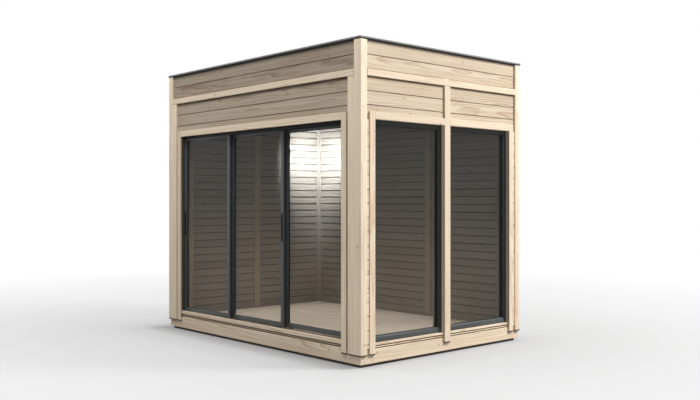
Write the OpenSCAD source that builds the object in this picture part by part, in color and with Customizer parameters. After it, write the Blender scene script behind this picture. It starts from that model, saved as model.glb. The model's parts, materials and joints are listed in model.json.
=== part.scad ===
// Flat-roofed timber garden house with a three-leaf sliding door and two fixed full-height windows.
// Millimetres, +Z up. Origin: centre of the footprint at ground level.
// The door wall faces -Y and the window wall faces +X.

/* [Footprint] */
// Width over the corner posts, along X
house_w = 3244; // [2900:1:3600]
// Depth over the corner posts, along Y
house_d = 2280; // [1950:1:2600]

/* [Base] */
// Height of the bearers under the sill beams
bearer_h = 28; // [20:1:60]
// Width of one bearer
bearer_w = 95; // [60:1:120]
// How far the bearers stand back from the sill faces
bearer_recess = 28; // [10:1:45]
// Number of bearers that run from front to back
bearer_count = 4; // [3:1:5]
// Height of the sill beams
sill_h = 124; // [110:1:150]
// How far sills, outer boards and fascia boards stand back from the post faces
face_recess = 17; // [14:1:24]
// Width of one floor joist
joist_w = 45; // [35:1:60]
// Number of floor joists
joist_count = 4; // [3:1:6]
// Thickness of the floor boards
floor_t = 28; // [20:1:35]

/* [Heights] */
// Height of the door and window openings above the sill beams
opening_h = 2030; // [1900:1:2100]
// Height of the wall boards over the openings, up to the fascia trim
header_h = 378; // [300:1:450]
// Height of the fascia boards with their trim
fascia_h = 313; // [280:1:360]

/* [Corner posts] */
// Width of a corner post seen from the door side
post_w = 168; // [150:1:185]
// Depth of a corner post seen from the window side
post_d = 82; // [70:1:100]
// Width that the post keeps beside the fascia boards
post_top_w = 85; // [75:1:110]
// Rounding of the outer edge of a post
post_round = 8; // [3:1:15]
// How far posts and trims lap down over the sill beams
lap = 38; // [25:1:80]
// Width of the posts between the corners
mid_post_w = 80; // [60:1:90]
// How far those posts stand out of the inner wall face
mid_post_proud = 10; // [4:1:15]

/* [Wall boards] */
// Thickness of the outer boards
cladding_t = 20; // [16:1:24]
// Cover height of one outer board
cladding_pitch = 123.8; // [90:0.1:150]
// Thickness of a side or back wall behind its outer boards
wall_t = 108; // [70:1:130]
// Cover height of one inner board
lining_pitch = 84.5; // [70:0.5:120]
// Width of the joint between two boards
groove_w = 5; // [2:0.5:8]
// Depth of the joint between two boards
groove_d = 7; // [3:0.5:10]
// Width of the strips in the inner corners
corner_strip_w = 40; // [25:1:60]
// Thickness of those strips
corner_strip_t = 12; // [8:1:20]

/* [Trims] */
// Width of the trims round the openings
trim_w = 66; // [50:1:75]
// Thickness of the trims
trim_t = 17; // [12:1:19]
// From the post's side edge to the trim on the door side
door_trim_gap = 21; // [10:1:35]
// From the post's side edge to the trim on the window side
window_trim_gap = 33; // [10:1:45]
// Height of the trim under the fascia boards
fascia_trim_h = 60; // [45:1:70]
// How far that trim stands out of the post faces
fascia_trim_proud = 3; // [0:0.5:6]
// Height of the joint between the two fascia boards above their trim
fascia_joint_h = 129; // [100:1:150]

/* [Roof] */
// Height of the roof beams
beam_h = 195; // [160:1:220]
// Width of one roof beam
beam_w = 45; // [40:1:60]
// Number of roof beams
beam_count = 6; // [4:1:8]
// Thickness of the roof deck
deck_t = 25; // [18:1:32]
// Thickness of the ceiling boards
ceiling_t = 18; // [12:1:25]
// Thickness of the roof membrane
membrane_t = 6; // [3:1:10]
// Height of the edge flashing
flashing_h = 25; // [20:1:40]
// How far the flashing stands out of the posts
flashing_out = 5; // [4:1:12]
// Thickness of the flashing sheet
flashing_t = 3; // [2:0.5:4]
// Width of the flashing on the roof
flashing_top_w = 60; // [45:1:90]

/* [Windows] */
// Height of the board under the windows, above the sill beams
window_cill_h = 50; // [38:1:60]
// Distance from the post faces to the metal frames
frame_recess = 44; // [42:1:60]
// Visible width of a window frame bar
window_bar = 54; // [35:1:60]
// Depth of a window frame bar
window_bar_d = 58; // [45:1:60]
// Thickness of the glazing
glass_t = 20; // [6:1:24]

/* [Sliding door] */
// Height of the timber threshold above the sill beams
threshold_h = 66; // [52:1:75]
// Height of the head track
head_track_h = 34; // [28:1:60]
// Width of the side jambs behind the trims
jamb_w = 26; // [20:1:40]
// Thickness of a door leaf
leaf_t = 24; // [20:1:30]
// Clear space on each side of a leaf in its track
track_clear = 5; // [5:0.5:8]
// Thickness of the wall between two tracks
track_wall = 3; // [2:0.5:5]
// How far a leaf reaches up into its track
leaf_in_track = 14; // [10:1:20]
// Width of the fixed leaf
fixed_leaf_w = 974; // [900:1:1020]
// Visible width of the stiles
stile_w = 50; // [40:1:60]
// Height of the top rails
top_rail_h = 42; // [34:1:60]
// Visible height of the bottom rails
bottom_rail_h = 45; // [38:1:60]
// Width that two neighbouring leaves overlap
leaf_overlap = 24; // [15:1:50]
// Thickness of the panes in the leaves
pane_t = 12; // [6:1:16]
// Height of the running rails in the bottom track
rail_h = 6; // [4:0.5:10]
// Width of the running rails
rail_w = 4; // [3:0.5:8]
// Length of a roller shoe under a leaf
shoe_l = 70; // [50:1:100]
// Running gap between a shoe and its rail
shoe_gap = 0.3; // [0.1:0.1:0.5]
// Length of a pull handle
handle_l = 272; // [150:1:350]
// Width of a pull handle
handle_w = 14; // [8:1:20]
// Thickness of a pull handle
handle_t = 7; // [4:0.5:8]
// Height of the middle of the handles above the sill beams
handle_mid_h = 1047; // [900:1:1300]

/* [Hidden] */

$fn = 48;
timber = [0.87, 0.77, 0.63];
timber_dark = [0.36, 0.30, 0.24];
inner_timber = [0.78, 0.68, 0.54];
metal = [0.20, 0.22, 0.22];
glazing = [0.35, 0.38, 0.38, 0.45];
membrane = [0.16, 0.16, 0.17];

// Distances inward from a post face
cladding_back = face_recess + cladding_t;
wall_in = cladding_back + wall_t;
track_slot = leaf_t + 2 * track_clear;
track_pitch = track_slot + track_wall;
track_lip = 2 * track_wall;
door_frame_d = 2 * track_lip + 3 * track_slot + 2 * track_wall;
front_wall_in = frame_recess + door_frame_d;
trim_out = face_recess - trim_t;

// Heights above the ground
sill_top = bearer_h + sill_h;
lap_base = sill_top - lap;
opening_top = sill_top + opening_h;
fascia_base = opening_top + header_h;
post_top = fascia_base + fascia_h;
deck_base = post_top - deck_t;
wall_top = deck_base - beam_h;
ceiling_base = wall_top - ceiling_t;
roof_top = post_top + flashing_h;

// Across the door, measured from the outer face of the right corner posts
door_open_in = post_w + door_trim_gap + trim_w;
door_clear_w = house_w - 2 * door_open_in;
sliding_leaf_w = (door_clear_w + 2 * leaf_overlap - fixed_leaf_w) / 2;
leaf_base = sill_top + threshold_h;
leaf_top = opening_top - head_track_h + leaf_in_track;
leaf_h = leaf_top - leaf_base;
window_open_in = post_d + window_trim_gap + trim_w;

// Right end of each leaf at rest, then the depth of its front face
leaf_3_x = house_w / 2 - door_open_in - fixed_leaf_w;
leaf_2_x = leaf_3_x + leaf_overlap - sliding_leaf_w;
leaf_1_x = leaf_2_x + leaf_overlap - sliding_leaf_w;
function leaf_depth(track) = frame_recess + track_lip + track_clear + (track - 1) * track_pitch;

// A plan area given by its distances from the left, front, right and back post faces
module inset_plan(left, front, right, back) {
  translate([-house_w / 2 + left, -house_d / 2 + front])
    square([house_w - left - right, house_d - front - back]);
}

module inset_box(left, front, right, back, base, top) {
  translate([0, 0, base])
    linear_extrude(top - base) inset_plan(left, front, right, back);
}

// Copies of a child made for the right rear quarter, on all four corners
module at_right_left() {
  children();
  mirror([1, 0, 0]) children();
}

module at_front_back() {
  children();
  mirror([0, 1, 0]) children();
}

// Profile of a boarded panel: across it from face to back, upward, with a joint at each board
module board_profile(face, back, base, top, pitch, first) {
  side = face < back ? 1 : -1;
  difference() {
    translate([min(face, back), base]) square([abs(back - face), top - base]);
    for (z = [first : pitch : top - groove_w]) {
      if (z > base + groove_w)
        translate([side > 0 ? face - 1 : face - groove_d, z - groove_w / 2])
          square([groove_d + 1, groove_w]);
    }
  }
}

// A profile drawn with distances from the named face, run along that side between two distances
module run_along_x(from, to) {
  translate([from, -house_d / 2, 0])
    rotate([90, 0, 90]) linear_extrude(to - from) children();
}

module run_along_y(from, to) {
  translate([house_w / 2, to, 0])
    rotate([90, 0, 0]) linear_extrude(to - from) mirror([1, 0]) children();
}

// Outer boards, with a joint level with the top of the openings
first_joint = opening_top - floor(opening_h / cladding_pitch) * cladding_pitch;

module cladding_profile(base, top) {
  board_profile(face_recess, cladding_back, base, top, cladding_pitch, first_joint);
}

// Bearers run from front to back, between one under the door side and one under the back
module ground_bearers() {
  inset = face_recess + bearer_recess;
  step = (house_w - 2 * inset - bearer_w) / (bearer_count - 1);
  color(timber_dark) {
    for (i = [0 : bearer_count - 1])
      translate([-house_w / 2 + inset + i * step, -house_d / 2 + inset, 0])
        cube([bearer_w, house_d - 2 * inset, bearer_h]);
    inset_box(inset, inset, inset, house_d - inset - bearer_w, 0, bearer_h);
    inset_box(inset, house_d - inset - bearer_w, inset, inset, 0, bearer_h);
  }
}

module sills_long() {
  color(timber) {
    inset_box(face_recess, face_recess, face_recess, house_d - front_wall_in, bearer_h, sill_top);
    inset_box(face_recess, house_d - wall_in, face_recess, face_recess, bearer_h, sill_top);
  }
}

module sills_short() {
  color(timber) at_right_left()
    inset_box(house_w - wall_in, front_wall_in, face_recess, wall_in, bearer_h, sill_top);
}

module floor_joists() {
  room_d = house_d - front_wall_in - wall_in;
  step = (room_d - joist_w) / (joist_count - 1);
  color(timber)
    for (i = [0 : joist_count - 1])
      translate([-house_w / 2 + wall_in, -house_d / 2 + front_wall_in + i * step, bearer_h])
        cube([house_w - 2 * wall_in, joist_w, sill_h - floor_t]);
}

module floor_deck() {
  color(inner_timber)
    inset_box(wall_in, front_wall_in, wall_in, wall_in, sill_top - floor_t, sill_top);
}

// Corner post for the right front corner: rebated over the sill beams, notched for the fascia
module corner_post() {
  translate([house_w / 2, -house_d / 2, 0]) difference() {
    translate([-post_w, 0, lap_base]) cube([post_w, post_d, post_top - lap_base]);
    translate([-post_w - 1, face_recess, lap_base - 1])
      cube([post_w + 1 - face_recess, post_d, sill_top - lap_base + 1]);
    translate([-post_w - 1, -1, fascia_base])
      cube([post_w + 1 - post_top_w, cladding_back + 1, post_top - fascia_base + 1]);
    translate([-post_round, post_round, lap_base - 1]) difference() {
      translate([0, -post_round - 1, 0]) cube([post_round + 1, post_round + 1, post_top]);
      cylinder(r = post_round, h = post_top);
    }
  }
}

module corner_post_front_right() {
  color(timber) corner_post();
}

module corner_post_front_left() {
  color(timber) mirror([1, 0, 0]) corner_post();
}

module corner_post_back_right() {
  color(timber) mirror([0, 1, 0]) corner_post();
}

module corner_post_back_left() {
  color(timber) mirror([1, 0, 0]) mirror([0, 1, 0]) corner_post();
}

// Side view of a post between two wall panels, with its batten face lapping the sill beam
module mid_post_profile(inner) {
  polygon([
    [trim_out, lap_base], [face_recess, lap_base], [face_recess, sill_top], [inner, sill_top],
    [inner, ceiling_base], [wall_in, ceiling_base], [wall_in, wall_top], [cladding_back, wall_top],
    [cladding_back, fascia_base], [trim_out, fascia_base]
  ]);
}

// Middles of the back posts from the middle of the house
back_post_x = 0.14 * house_w;

module wall_mid_posts() {
  inner = wall_in + mid_post_proud;
  color(timber) {
    mirror([1, 0, 0]) run_along_y(-mid_post_w / 2, mid_post_w / 2) mid_post_profile(inner);
    at_right_left() mirror([0, 1, 0])
      run_along_x(back_post_x - mid_post_w / 2, back_post_x + mid_post_w / 2) mid_post_profile(inner);
  }
}

module window_mullion_post() {
  color(timber) run_along_y(-mid_post_w / 2, mid_post_w / 2) mid_post_profile(wall_in + mid_post_proud);
}

// Wall behind its outer boards, with the inner board joints on the room side
module wall_profile(inner, base, top) {
  board_profile(inner, cladding_back, base, top, lining_pitch, sill_top + lining_pitch);
}

// A profile run along the right side from post to post, in a panel on each side of the middle post
module side_panels() {
  run_along_y(-house_d / 2 + post_d, -mid_post_w / 2) children();
  run_along_y(mid_post_w / 2, house_d / 2 - post_d) children();
}

module left_wall() {
  color(inner_timber) mirror([1, 0, 0]) side_panels() wall_profile(wall_in, sill_top, wall_top);
}

module left_cladding() {
  color(timber) mirror([1, 0, 0]) side_panels() cladding_profile(sill_top, fascia_base);
}

module back_wall_span(from, to, corner) {
  difference() {
    mirror([0, 1, 0]) run_along_x(from, to) wall_profile(wall_in, sill_top, wall_top);
    if (corner)
      translate([house_w / 2 - post_w, house_d / 2 - post_d, 0])
        cube([post_w, post_d, post_top]);
  }
}

module back_wall() {
  color(inner_timber) {
    back_wall_span(-back_post_x + mid_post_w / 2, back_post_x - mid_post_w / 2, false);
    at_right_left() back_wall_span(back_post_x + mid_post_w / 2, house_w / 2 - wall_in, true);
  }
}

module back_cladding() {
  color(timber) mirror([0, 1, 0]) {
    run_along_x(-back_post_x + mid_post_w / 2, back_post_x - mid_post_w / 2)
      cladding_profile(sill_top, fascia_base);
    at_right_left() run_along_x(back_post_x + mid_post_w / 2, house_w / 2 - post_w)
      cladding_profile(sill_top, fascia_base);
  }
}

module front_header_wall() {
  color(inner_timber)
    run_along_x(-house_w / 2 + door_open_in - jamb_w, house_w / 2 - door_open_in + jamb_w)
      wall_profile(front_wall_in, opening_top, wall_top);
}

module front_header_cladding() {
  color(timber)
    run_along_x(-house_w / 2 + post_w, house_w / 2 - post_w)
      cladding_profile(opening_top, fascia_base);
}

module front_side_walls() {
  color(inner_timber) at_right_left() difference() {
    run_along_x(house_w / 2 - door_open_in + jamb_w, house_w / 2 - wall_in)
      wall_profile(front_wall_in, sill_top, wall_top);
    translate([house_w / 2 - post_w, -house_d / 2, 0]) cube([post_w, post_d, post_top]);
  }
}

module front_side_claddings() {
  color(timber) at_right_left()
    run_along_x(house_w / 2 - door_open_in, house_w / 2 - post_w)
      cladding_profile(sill_top, opening_top);
}

// Window openings in the right wall, on both sides of the mullion post
module window_space(depth_from, depth_to, base) {
  for (side = [-1, 1])
    translate([house_w / 2 - depth_to, side > 0 ? mid_post_w / 2 : -house_d / 2 + window_open_in, base])
      cube([depth_to - depth_from, house_d / 2 - window_open_in - mid_post_w / 2, opening_top - base]);
}

module right_wall() {
  color(inner_timber) difference() {
    side_panels() wall_profile(wall_in, sill_top, wall_top);
    window_space(face_recess - 1, wall_in + 1, sill_top - 1);
  }
}

module right_cladding() {
  color(timber) difference() {
    side_panels() cladding_profile(sill_top, fascia_base);
    window_space(face_recess - 1, cladding_back + 1, sill_top - 1);
  }
}

// Angle strips that cover the joints of the inner boards in the room's corners
module inner_corner_strips() {
  height = ceiling_base - sill_top;
  color(inner_timber) {
    for (back = [0, 1])
      at_right_left() translate([house_w / 2 - wall_in, 0, sill_top]) mirror([1, 0, 0])
        translate([0, back == 1 ? house_d / 2 - wall_in : -house_d / 2 + front_wall_in, 0])
          mirror([0, back, 0]) linear_extrude(height) difference() {
            square(corner_strip_w);
            translate([corner_strip_t, corner_strip_t]) square(corner_strip_w);
          }
  }
}

// Trim boards round an opening, drawn as seen from outside: width, lap at the foot, head on top
module surround_outline(half_w, foot) {
  difference() {
    translate([-half_w - trim_w, foot]) square([2 * (half_w + trim_w), opening_top + trim_w - foot]);
    translate([-half_w, foot - 1]) square([2 * half_w, opening_top - foot + 1]);
  }
}

module door_surround() {
  color(timber) translate([0, -house_d / 2 + face_recess, 0]) rotate([90, 0, 0])
    linear_extrude(trim_t) surround_outline(house_w / 2 - door_open_in, lap_base);
}

module window_surround() {
  color(timber) difference() {
    translate([house_w / 2 - face_recess, 0, 0]) rotate([90, 0, 90])
      linear_extrude(trim_t) surround_outline(house_d / 2 - window_open_in, lap_base);
    translate([house_w / 2 - face_recess - 1, -mid_post_w / 2, opening_top])
      cube([trim_t + 2, mid_post_w, 2 * trim_w]);
  }
}

// Boards under the windows: a low strip, a shadow joint and the cill board
strip_h = 19;
strip_gap = 5;

module cill_profile(top) {
  polygon([
    [face_recess - 4, sill_top], [face_recess - 4, sill_top + strip_h],
    [face_recess + 6, sill_top + strip_h], [face_recess + 6, sill_top + strip_h + strip_gap],
    [face_recess, sill_top + strip_h + strip_gap], [face_recess, top - 4],
    [frame_recess, top], [wall_in, top], [wall_in, sill_top]
  ]);
}

module window_cills() {
  color(timber) {
    run_along_y(-house_d / 2 + window_open_in, -mid_post_w / 2) cill_profile(sill_top + window_cill_h);
    run_along_y(mid_post_w / 2, house_d / 2 - window_open_in) cill_profile(sill_top + window_cill_h);
  }
}

window_w = house_d / 2 - window_open_in - mid_post_w / 2;
window_base = sill_top + window_cill_h;
window_h = opening_top - window_base;
glass_bite = 12;

module window_frames() {
  color(metal) for (y = [-house_d / 2 + window_open_in, mid_post_w / 2])
    translate([house_w / 2 - frame_recess, y, window_base]) rotate([90, 0, 90]) mirror([0, 0, 1])
      difference() {
        cube([window_w, window_h, window_bar_d]);
        translate([window_bar, window_bar, -1])
          cube([window_w - 2 * window_bar, window_h - 2 * window_bar, window_bar_d + 2]);
        translate([window_bar - glass_bite, window_bar - glass_bite, (window_bar_d - glass_t) / 2])
          cube([window_w - 2 * (window_bar - glass_bite), window_h - 2 * (window_bar - glass_bite), glass_t]);
      }
}

module window_glass() {
  color(glazing) for (y = [-house_d / 2 + window_open_in, mid_post_w / 2])
    translate([house_w / 2 - frame_recess, y, window_base]) rotate([90, 0, 90]) mirror([0, 0, 1])
      translate([window_bar - glass_bite, window_bar - glass_bite, (window_bar_d - glass_t) / 2])
        cube([window_w - 2 * (window_bar - glass_bite), window_h - 2 * (window_bar - glass_bite), glass_t]);
}

// Section of the head track: three slots open downward
module head_track_profile() {
  base = opening_top - head_track_h;
  difference() {
    translate([frame_recess, base]) square([door_frame_d, head_track_h]);
    for (track = [1 : 3])
      translate([leaf_depth(track) - track_clear, base - 1])
        square([track_slot, leaf_in_track + track_clear + 1]);
  }
}

module door_frame() {
  half = house_w / 2 - door_open_in;
  color(metal) {
    run_along_x(-half, half) head_track_profile();
    at_right_left() translate([half, -house_d / 2 + frame_recess, sill_top])
      cube([jamb_w, door_frame_d, opening_h]);
  }
}

// Section of the bottom track: a raised bed with a running rail under each leaf
module door_bottom_track() {
  half = house_w / 2 - door_open_in;
  bed_top = leaf_base - track_clear - rail_h;
  front = frame_recess + track_lip;
  color(metal) run_along_x(-half, half) union() {
    translate([front, sill_top]) square([front_wall_in - front, bed_top - sill_top]);
    for (track = [1 : 3])
      translate([leaf_depth(track) + (leaf_t - rail_w) / 2, bed_top]) square([rail_w, rail_h]);
  }
}

module door_threshold() {
  half = house_w / 2 - door_open_in;
  back = frame_recess + track_lip;
  color(timber) run_along_x(-half, half) polygon([
    [face_recess - 4, sill_top], [face_recess - 4, sill_top + strip_h],
    [face_recess + 6, sill_top + strip_h], [face_recess + 6, sill_top + strip_h + strip_gap],
    [face_recess, sill_top + strip_h + strip_gap], [face_recess, leaf_base - 3],
    [frame_recess, leaf_base - 1], [back, leaf_base - track_clear], [back, sill_top]
  ]);
}

// One leaf: a rectangular sash with roller shoes under its bottom rail, glazed with one pane
module leaf_place(x, track) {
  translate([x, -house_d / 2 + leaf_depth(track), leaf_base]) children();
}

module leaf_frame(width) {
  difference() {
    cube([width, leaf_t, leaf_h]);
    translate([stile_w, -1, bottom_rail_h])
      cube([width - 2 * stile_w, leaf_t + 2, leaf_h - bottom_rail_h - top_rail_h]);
    translate([stile_w - glass_bite, (leaf_t - pane_t) / 2, bottom_rail_h - glass_bite])
      cube([width - 2 * (stile_w - glass_bite), pane_t,
            leaf_h - bottom_rail_h - top_rail_h + 2 * glass_bite]);
  }
  for (x = [stile_w, width - stile_w - shoe_l])
    translate([x, (leaf_t - 3 * rail_w) / 2, -track_clear + shoe_gap])
      cube([shoe_l, 3 * rail_w, track_clear]);
}

module leaf_pane(width) {
  translate([stile_w - glass_bite, (leaf_t - pane_t) / 2, bottom_rail_h - glass_bite])
    cube([width - 2 * (stile_w - glass_bite), pane_t, leaf_h - bottom_rail_h - top_rail_h + 2 * glass_bite]);
}

module leaf_handle(x) {
  translate([x - handle_w / 2, -handle_t, sill_top + handle_mid_h - handle_l / 2 - leaf_base])
    cube([handle_w, handle_t, handle_l]);
}

module door_leaf_1_frame() {
  color(metal) leaf_place(leaf_1_x, 1) leaf_frame(sliding_leaf_w);
}

module door_leaf_1_glass() {
  color(glazing) leaf_place(leaf_1_x, 1) leaf_pane(sliding_leaf_w);
}

module door_leaf_1_handle() {
  color(metal) leaf_place(leaf_1_x, 1) leaf_handle(stile_w / 2);
}

module door_leaf_2_frame() {
  color(metal) leaf_place(leaf_2_x, 2) leaf_frame(sliding_leaf_w);
}

module door_leaf_2_glass() {
  color(glazing) leaf_place(leaf_2_x, 2) leaf_pane(sliding_leaf_w);
}

module door_leaf_2_handle() {
  color(metal) leaf_place(leaf_2_x, 2) leaf_handle(sliding_leaf_w - stile_w / 2);
}

module door_leaf_3_frame() {
  color(metal) leaf_place(leaf_3_x, 3) leaf_frame(fixed_leaf_w);
}

module door_leaf_3_glass() {
  color(glazing) leaf_place(leaf_3_x, 3) leaf_pane(fixed_leaf_w);
}

module ceiling_boards() {
  color(inner_timber) inset_box(wall_in, front_wall_in, wall_in, wall_in, ceiling_base, wall_top);
}

// Roof beams run from the front wall to the back wall
module roof_beams() {
  inset = cladding_back;
  step = (house_w - 2 * inset - beam_w) / (beam_count - 1);
  color(timber)
    for (i = [0 : beam_count - 1])
      let (end = i == 0 || i == beam_count - 1 ? post_d : cladding_back)
        translate([-house_w / 2 + inset + i * step, -house_d / 2 + end, wall_top])
          cube([beam_w, house_d - 2 * end, beam_h]);
}

module roof_deck() {
  color(timber) translate([0, 0, deck_base]) linear_extrude(post_top - deck_base) difference() {
    inset_plan(cladding_back, cladding_back, cladding_back, cladding_back);
    for (x = [-1, 1])
      for (y = [-1, 1])
        translate([x * house_w / 2, y * house_d / 2]) square([2 * post_w, 2 * post_d], center = true);
  }
}

module roof_membrane() {
  color(membrane) inset_box(0, 0, 0, 0, post_top, post_top + membrane_t);
}

module roof_flashing() {
  out = flashing_out - flashing_t;
  color(metal) difference() {
    inset_box(-flashing_out, -flashing_out, -flashing_out, -flashing_out, post_top, roof_top);
    inset_box(-out, -out, -out, -out, post_top - 1, post_top + membrane_t);
    inset_box(flashing_top_w, flashing_top_w, flashing_top_w, flashing_top_w, post_top, roof_top + 1);
  }
}

module fascia_profile() {
  joint = fascia_base + fascia_trim_h + fascia_joint_h;
  difference() {
    translate([face_recess, fascia_base]) square([cladding_back - face_recess, fascia_h]);
    translate([face_recess - 1, joint - groove_w / 2]) square([groove_d + 1, groove_w]);
  }
}

module fascia_boards() {
  color(timber) {
    at_front_back() run_along_x(-house_w / 2 + post_top_w, house_w / 2 - post_top_w) fascia_profile();
    at_right_left() run_along_y(-house_d / 2 + post_d, house_d / 2 - post_d) fascia_profile();
  }
}

module fascia_trim_profile() {
  translate([-fascia_trim_proud, fascia_base]) square([face_recess + fascia_trim_proud, fascia_trim_h]);
}

module fascia_trims() {
  color(timber) {
    at_front_back() run_along_x(-house_w / 2 + post_top_w, house_w / 2 - post_top_w) fascia_trim_profile();
    at_right_left() run_along_y(-house_d / 2 + post_d, house_d / 2 - post_d) fascia_trim_profile();
  }
}

ground_bearers();
sills_long();
sills_short();
floor_joists();
floor_deck();
corner_post_front_right();
corner_post_front_left();
corner_post_back_right();
corner_post_back_left();
wall_mid_posts();
window_mullion_post();
left_wall();
left_cladding();
back_wall();
back_cladding();
front_header_wall();
front_header_cladding();
front_side_walls();
front_side_claddings();
right_wall();
right_cladding();
inner_corner_strips();
door_surround();
window_surround();
window_cills();
window_frames();
window_glass();
door_frame();
door_bottom_track();
door_threshold();
door_leaf_1_frame();
door_leaf_1_glass();
door_leaf_1_handle();
door_leaf_2_frame();
door_leaf_2_glass();
door_leaf_2_handle();
door_leaf_3_frame();
door_leaf_3_glass();
ceiling_boards();
roof_beams();
roof_deck();
roof_membrane();
roof_flashing();
fascia_boards();
fascia_trims();
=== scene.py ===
import math
import random
import bpy
import bmesh
import numpy as np
from mathutils import Matrix, Vector
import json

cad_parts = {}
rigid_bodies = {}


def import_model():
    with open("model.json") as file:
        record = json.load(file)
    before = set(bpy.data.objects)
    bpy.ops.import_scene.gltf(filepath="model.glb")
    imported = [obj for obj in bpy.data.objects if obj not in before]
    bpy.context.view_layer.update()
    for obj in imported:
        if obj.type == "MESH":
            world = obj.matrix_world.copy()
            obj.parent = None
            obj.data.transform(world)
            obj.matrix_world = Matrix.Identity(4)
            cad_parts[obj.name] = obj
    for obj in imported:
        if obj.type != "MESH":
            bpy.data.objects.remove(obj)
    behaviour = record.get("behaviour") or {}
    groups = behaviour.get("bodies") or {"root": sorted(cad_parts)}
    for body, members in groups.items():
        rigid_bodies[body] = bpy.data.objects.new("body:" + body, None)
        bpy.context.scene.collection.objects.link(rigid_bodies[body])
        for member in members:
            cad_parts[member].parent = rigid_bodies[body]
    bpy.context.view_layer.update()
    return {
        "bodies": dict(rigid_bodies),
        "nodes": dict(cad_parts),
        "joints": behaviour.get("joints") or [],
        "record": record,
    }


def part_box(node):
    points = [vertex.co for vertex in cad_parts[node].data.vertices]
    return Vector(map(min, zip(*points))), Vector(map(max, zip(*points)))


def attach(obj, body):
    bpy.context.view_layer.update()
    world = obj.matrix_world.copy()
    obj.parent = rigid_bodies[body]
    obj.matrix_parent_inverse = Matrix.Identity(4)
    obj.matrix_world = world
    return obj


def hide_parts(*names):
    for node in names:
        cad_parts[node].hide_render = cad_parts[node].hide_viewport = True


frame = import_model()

rng = random.Random(41)
nodes = frame["nodes"]
bpy.ops.object.select_all(action="DESELECT")


# small tools
def edges(node):  # low and high corner of a CAD node
    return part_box(node)


def only(obj):  # make one object active and selected
    bpy.ops.object.select_all(action="DESELECT")
    obj.select_set(True)
    bpy.context.view_layer.objects.active = obj


def block(name, low, high):  # a cube at its size and place
    bpy.ops.object.select_all(action="DESELECT")
    low, high = Vector(low), Vector(high)
    bpy.ops.mesh.primitive_cube_add(size=1, location=(low + high) / 2, scale=high - low)
    bpy.ops.object.transform_apply(location=True, rotation=True, scale=True)
    obj = bpy.context.object
    obj.name = name
    return obj


def bar(name, along, span, depths, levels):  # a block that runs along X (0) or Y (1)
    low, high = [0, 0, levels[0]], [0, 0, levels[1]]
    low[along], high[along] = span
    low[1 - along], high[1 - along] = sorted(depths)
    return block(name, low, high)


def edit(obj):
    only(obj)
    bpy.ops.object.mode_set(mode="EDIT")


def done():
    bpy.ops.object.mode_set(mode="OBJECT")


def pick(obj, kind, wanted):  # select only the faces or edges that a test picks
    bpy.ops.mesh.select_all(action="DESELECT")
    mesh = bmesh.from_edit_mesh(obj.data)
    for item in getattr(mesh, kind):
        if wanted(item):
            item.select = True
    bmesh.update_edit_mesh(obj.data)


def cut(axis, at):  # cut the whole piece across an axis
    bpy.ops.mesh.select_all(action="SELECT")
    place, normal = [0, 0, 0], [0, 0, 0]
    place[axis], normal[axis] = at, 1
    bpy.ops.mesh.bisect(plane_co=place, plane_no=normal)


def bevel(width, segments):
    bpy.ops.mesh.bevel(offset=width, segments=segments, affect="EDGES")


def extrude(x, y, z):
    bpy.ops.mesh.extrude_region_move(TRANSFORM_OT_translate={"value": (x, y, z)})


def ease(obj, width, segments=2, angle=35):  # round the edges and keep the result
    only(obj)
    mod = obj.modifiers.new("ease", "BEVEL")
    mod.width = width
    mod.segments = segments
    mod.limit_method = "ANGLE"
    mod.angle_limit = math.radians(angle)
    mod.harden_normals = False
    bpy.ops.object.modifier_apply(modifier="ease")
    return obj


def smooth(obj, angle=40):
    only(obj)
    bpy.ops.object.shade_smooth_by_angle(angle=math.radians(angle))
    return obj


def grain(obj, along, across, tone=(0.72, 1.0)):  # wood runs along one axis, each board with its own figure
    mesh = obj.data
    co = np.empty(len(mesh.vertices) * 3, np.float32)
    mesh.vertices.foreach_get("co", co)
    co = co.reshape(-1, 3)
    depth = 3 - along - across
    shift = [rng.uniform(-20, 20), rng.uniform(-0.06, 0.06), rng.uniform(0.012, 0.08)]
    mid = (co.max(0) + co.min(0)) / 2
    out = np.stack([co[:, along] + shift[0], co[:, across] - mid[across] + shift[1],
                    co[:, depth] - mid[depth] + shift[2]], 1).astype(np.float32)
    for key in ("grain", "tone"):
        if key in mesh.attributes:
            mesh.attributes.remove(mesh.attributes[key])
    layer = mesh.attributes.new("grain", "FLOAT_VECTOR", "POINT")
    layer.data.foreach_set("vector", out.ravel())
    layer = mesh.attributes.new("tone", "FLOAT", "POINT")
    layer.data.foreach_set("value", np.full(len(co), rng.uniform(*tone), np.float32))
    obj["toneLow"], obj["toneHigh"] = tone
    return obj


def freshGrain(obj, along, across):  # a new figure that keeps the dark joints and the painted shadow
    dark = [i for i, item in enumerate(obj.data.attributes["tone"].data) if item.value < -0.9]
    grain(obj, along, across, (obj["toneLow"], obj["toneHigh"]))
    for i in dark:
        obj.data.attributes["tone"].data[i].value = -1.0


def darken(obj, wanted):  # dark joints, and painted shadow at lap ends and behind the cill joints, are dark places in the wood
    for item, v in zip(obj.data.attributes["tone"].data, obj.data.vertices):
        if wanted(v.co):
            item.value = -1.0
    return obj


# painted shadow: the lowest part of each lap is painted dark, as the shadow line under the lap
lapLook = {"drop": 0.012, "shadowBand": 0.014, "fade": 0.0006}  # the laps end a little lower than the solids


def lap(obj, along, across):  # grain, and a dark band at the lower end of a lap over the sills: painted shadow under the lap
    level = lapBase + lapLook["shadowBand"]
    edit(obj)
    cut(2, level)
    cut(2, level + lapLook["fade"])
    done()
    return darken(grain(obj, along, across), lambda co: co.z < level + 1e-5)


def twinOf(obj, matrix, along=None, across=None):  # a copy with its own mesh and its own figure
    twin = obj.copy()
    twin.data = obj.data.copy()
    bpy.context.scene.collection.objects.link(twin)
    twin.data.transform(matrix)
    if matrix.determinant() < 0:
        twin.data.flip_normals()
    if along is not None:
        freshGrain(twin, along, across)
    return twin


def copyMoved(obj, offset, *figure):
    return twinOf(obj, Matrix.Translation(offset), *figure)


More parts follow.
